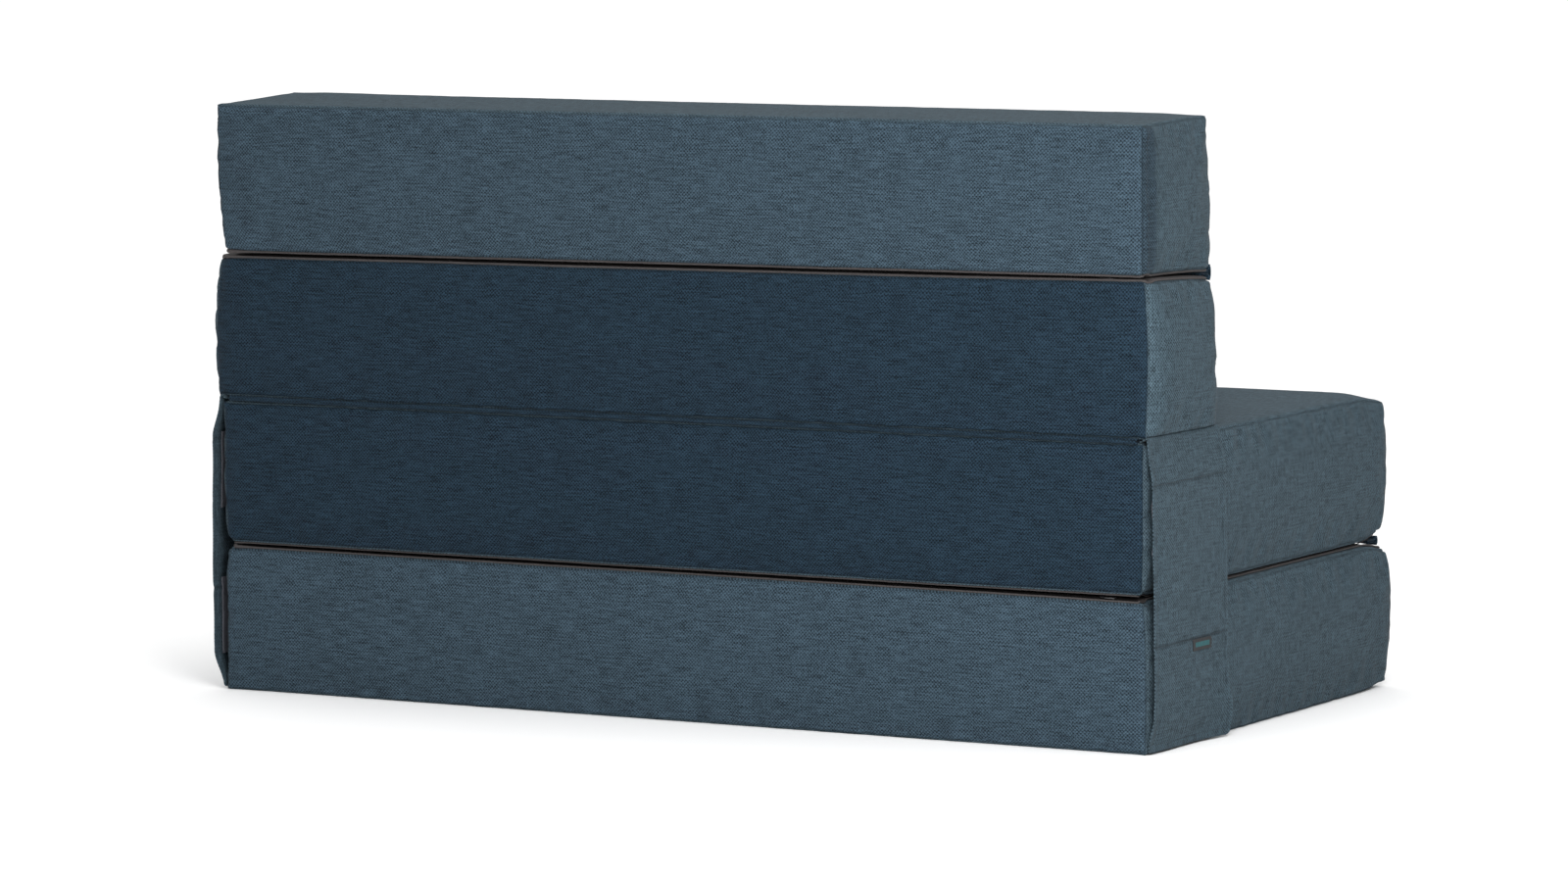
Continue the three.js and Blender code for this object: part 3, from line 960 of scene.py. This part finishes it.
class Flap:
    """One side flap, sewn into the seam under the back and hanging over the slabs' sides."""

    def __init__(self, hand, side):
        self.hand, self.side = hand, side
        self.body = f"{hand}_flap"
        low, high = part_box(f"{hand}_side_flap")
        self.front, self.rear, self.top, self.bottom = low.y, high.y, high.z, low.z
        self.panel = abs(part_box("seat_slab_cover")[0].x)

    def outside(self, y, z, lift=0.0):
        """Points on the flap's outer side."""
        y, z = np.broadcast_arrays(np.asarray(y, float), np.asarray(z, float))
        out = stand_off(y, z, self.side, self.front, self.rear, self.top)
        flat = np.stack([np.full(y.shape, self.side * 0.7), y, z], axis=-1)
        rumple = 1.1 * MM * unevenness(flat, 70 * MM, 5 + self.side)
        beside_seams = sum(near(z - seam, 9 * MM) for seam in PAD_SEAMS)
        rumple = rumple + 0.8 * MM * beside_seams * unevenness(flat, 16 * MM, 9 + self.side)
        rumple = rumple * ramp(self.top - z, 0, 30 * MM)
        flat[..., 0] = self.side * (self.panel + out + rumple + lift)
        return flat

    def cloth(self):
        rim = np.array([0, 0.8, 1.8, 3.2, 5, 7, 8.6, 9.4, 11]) * MM
        ys = graded(self.front, self.rear, rim, 4.5 * MM)
        zs = graded(self.bottom, self.top - 4 * MM, rim, 4 * MM)[::-1]
        y, z = np.meshgrid(ys, zs)
        y = y.copy()
        for corner, inwards, bend in ((self.front, 1, 9 * MM), (self.rear, -1, 4 * MM)):
            low = np.clip(bend - (z - self.bottom), 0, bend)
            inset = bend - np.sqrt(bend ** 2 - low ** 2)
            y += inwards * inset * near(y - corner, 60 * MM)
        hanging = self.outside(y, z)
        hem = np.minimum.reduce([y - self.front, self.rear - y, z - self.bottom])
        hanging[..., 0] += self.side * 0.6 * MM * (1 - ramp(hem, HEM_WIDTH - 1 * MM, HEM_WIDTH))
        tuck = np.zeros((len(FLAP_TUCK), len(ys), 3))
        tuck[..., 0] = self.side * (self.panel + FLAP_TUCK[:, :1])
        tuck[..., 1] = ys
        tuck[..., 2] = self.top + FLAP_TUCK[:, 1:]
        grid = np.concatenate([tuck, hanging])
        steps = np.linalg.norm(np.diff(grid, axis=0), axis=2)
        down = np.concatenate([np.zeros((1, len(ys))), np.cumsum(steps, axis=0)])
        weave = np.stack([grid[..., 1] + 3 * self.side, -down], axis=-1)
        # Painted shade darkens the creases along the pad seams.
        painted_crease_shade = sum(near(grid[..., 2] - seam, 2.0 * MM) for seam in PAD_SEAMS)
        # A painted highlight lightens the flap's front edge.
        shade = 1 - 0.42 * painted_crease_shade + 0.25 * near(grid[..., 1] - self.front, 2.5 * MM)
        made = sheet_mesh(f"{self.hand}_flap_cloth", grid, self.side * FLAP_CLOTH, [CLOTH_SIDE],
                          weave=weave, shade=shade)
        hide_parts(f"{self.hand}_side_flap")
        sewn = self.stitching()
        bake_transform(made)

    def stitching(self):
        up = (self.side, 0, 0)
        rows = []
        ys = np.linspace(self.front + 4 * MM, self.rear - 4 * MM, 60)
        for seam in PAD_SEAMS:
            rows.append(stitches(self.outside(ys, seam, 0.1 * MM), up))
        zs = np.linspace(self.bottom + HEM_WIDTH, self.top - 12 * MM, 90)
        for y in (self.front + HEM_WIDTH, self.rear - HEM_WIDTH):
            rows.append(stitches(self.outside(y, zs, 0.1 * MM), up))
        rows.append(stitches(self.outside(ys[3:-3], self.bottom + HEM_WIDTH, 0.1 * MM), up))
        made = make_mesh(f"{self.hand}_flap_stitches", *merged(*rows), [THREAD])
        return attach(made, self.body, "fabric_light")

    def hook_pad(self, level):
        node = f"{self.hand}_hook_pad_{level}"
        low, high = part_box(node)
        ys, zs = pad_places(low, high)
        y, z = np.meshgrid(ys, zs, indexing="ij")
        grid = self.outside(y, z, -FLAP_CLOTH - 0.2 * MM)
        grid[..., 0] -= 0.15 * MM * self.side * unevenness(grid, 5 * MM, 2)
        made = sheet_mesh(f"{node}_tape", grid, self.side * 1.6 * MM, [HOOK])
        attach(made, self.body, "hook_pad", node)

    def loop_pad(self, level, body, skin):
        node = f"{self.hand}_loop_pad_{level}"
        low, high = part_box(node)
        ys, zs = pad_places(low, high)
        grid = np.zeros((len(ys), len(zs), 3))
        grid[..., 1], grid[..., 2] = np.meshgrid(ys, zs, indexing="ij")
        grid = skin.laid(grid, 0, self.side, 1.9 * MM)
        grid[..., 0] += 0.3 * MM * self.side * unevenness(grid, 4 * MM, 4)
        made = sheet_mesh(f"{node}_tape", grid, self.side * 1.6 * MM, [LOOP])
        attach(made, body, "loop_pad", node)


def pad_places(low, high):
    rim = np.array([0, 0.8, 2, 4]) * MM
    return graded(low.y, high.y, rim, 5 * MM), graded(low.z, high.z, rim, 5 * MM)


def care_label(flap):
    """A folded tape sewn on by its rear edge, with a plain stripe."""
    low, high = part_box("care_label")
    ys = graded(low.y, high.y, [0, 0.6 * MM], 2 * MM)
    zs = graded(low.z, high.z, [0, 0.6 * MM], 1.25 * MM)
    y, z = np.meshgrid(ys, zs, indexing="ij")
    loose = (high.y - y) / (high.y - low.y)
    grid = flap.outside(y, z, 1.0 * MM)
    grid[..., 0] += flap.side * (2.2 * MM * loose ** 2 + 0.3 * MM * unevenness(grid, 12 * MM, 8))
    mid_y = (ys[:-1] + ys[1:])[:, None] / 2
    mid_z = (zs[:-1] + zs[1:])[None, :] / 2
    on_stripe = (abs(mid_z - (low.z + high.z) / 2) < 2.6 * MM) & (mid_y < high.y - 7 * MM)
    on_stripe = on_stripe & (mid_y > low.y + 5 * MM)
    made = sheet_mesh("care_label_tape", grid, flap.side * 0.7 * MM,
                      [LABEL_GROUND, LABEL_STRIPE], which=on_stripe.astype(int))
    attach(made, flap.body, "label", "care_label")


# ---- building ----------------------------------------------------------------------------

def build_object():
    covers = {name: cushion(name, spec, 11 * n) for n, (name, spec) in enumerate(PADDED.items())}
    settle(list(covers.values()))
    for name, (made, lattice, half) in covers.items():
        spec = PADDED[name]
        stood_for = [f"{name}_cover"]
        if f"{name}_rear_panel" in frame["nodes"]:
            stood_for.append(f"{name}_rear_panel")
        attach(made, name, "fabric_light", *stood_for)
        foam = attach(foam_core(name), name, "foam", f"{name}_core")
        sheet = lining(name, spec, made, lattice, half)
        tape = zip_fastener(name, spec["lining"], sheet)
        zip_slider(name, spec["lining"], tape)
        if "strip" in spec:
            edge_stitching(name, made)
    for n, (name, facts) in enumerate(HINGES.items()):
        fabric_hinge(name, *facts, seed=n)
    skins = {name: Skin(covers[name][0]) for name in ("base_slab", "seat_slab")}
    for hand, side in (("left", LEFT), ("right", RIGHT)):
        flap = Flap(hand, side)
        flap.cloth()
        for level, body in (("upper", "seat_slab"), ("lower", "base_slab")):
            flap.hook_pad(level)
            flap.loop_pad(level, body, skins[body])
        if hand == "right":
            care_label(flap)


# ---- stage, lights and camera ------------------------------------------------------------

AIM = (0.018, 0.018, 0.340)
DISTANCE = 9.4
HEADING = math.radians(29.6)  # from -Y towards +X
PITCH = math.radians(-5.77)
ROLL = math.radians(-0.44)
LENS = 159.0
SENSOR = 36.0


def camera():
    ahead = Vector((math.sin(HEADING) * math.cos(PITCH), -math.cos(HEADING) * math.cos(PITCH),
                    math.sin(PITCH)))
    right = ahead.cross(Vector((0, 0, 1))).normalized()
    up = right.cross(ahead)
    turned = Matrix((right, up, -ahead)).transposed().to_4x4() @ Matrix.Rotation(ROLL, 4, "Z")
    data = bpy.data.cameras.new("camera")
    data.sensor_width, data.lens = SENSOR, LENS
    made = bpy.data.objects.new("camera", data)
    made.matrix_world = Matrix.Translation(Vector(AIM) - DISTANCE * ahead) @ turned
    bpy.context.scene.collection.objects.link(made)
    bpy.context.scene.camera = made


def area_light(name, place, target, size, power):
    data = bpy.data.lights.new(name, "AREA")
    data.shape = "RECTANGLE"
    data.size, data.size_y = size
    data.energy = power
    made = bpy.data.objects.new(name, data)
    facing = (Vector(target) - Vector(place)).to_track_quat("-Z", "Y")
    made.matrix_world = Matrix.Translation(place) @ facing.to_matrix().to_4x4()
    bpy.context.scene.collection.objects.link(made)


def ceiling_light(power):
    """A wide soft light from straight above, which keeps the floor white to the horizon."""
    data = bpy.data.lights.new("ceiling", "SUN")
    data.energy = power
    data.angle = math.radians(110)
    made = bpy.data.objects.new("ceiling", data)
    bpy.context.scene.collection.objects.link(made)


def stage():
    size = 60
    floor = make_mesh(
        "floor",
        [(-size, -size, 0), (size, -size, 0), (size, size, 0), (-size, size, 0)],
        [(0, 1, 2, 3)],
        [plain("floor_paper", (0.93, 0.93, 0.93), 0.01, (2, 2, 2), 0.0)],
    )
    world = bpy.data.worlds.new("studio")
    world.use_nodes = True
    background = world.node_tree.nodes["Background"]
    background.inputs["Color"].default_value = rgb(1, 1, 1)
    background.inputs["Strength"].default_value = 0.3
    bpy.context.scene.world = world


build_object()
stage()
ceiling_light(2.86)
area_light("side_box", (-2.0, 2.4, 1.3), (-0.5, 0.3, 0.4), (1.2, 1.4), 72)
camera()
bpy.context.scene.view_settings.view_transform = "Standard"
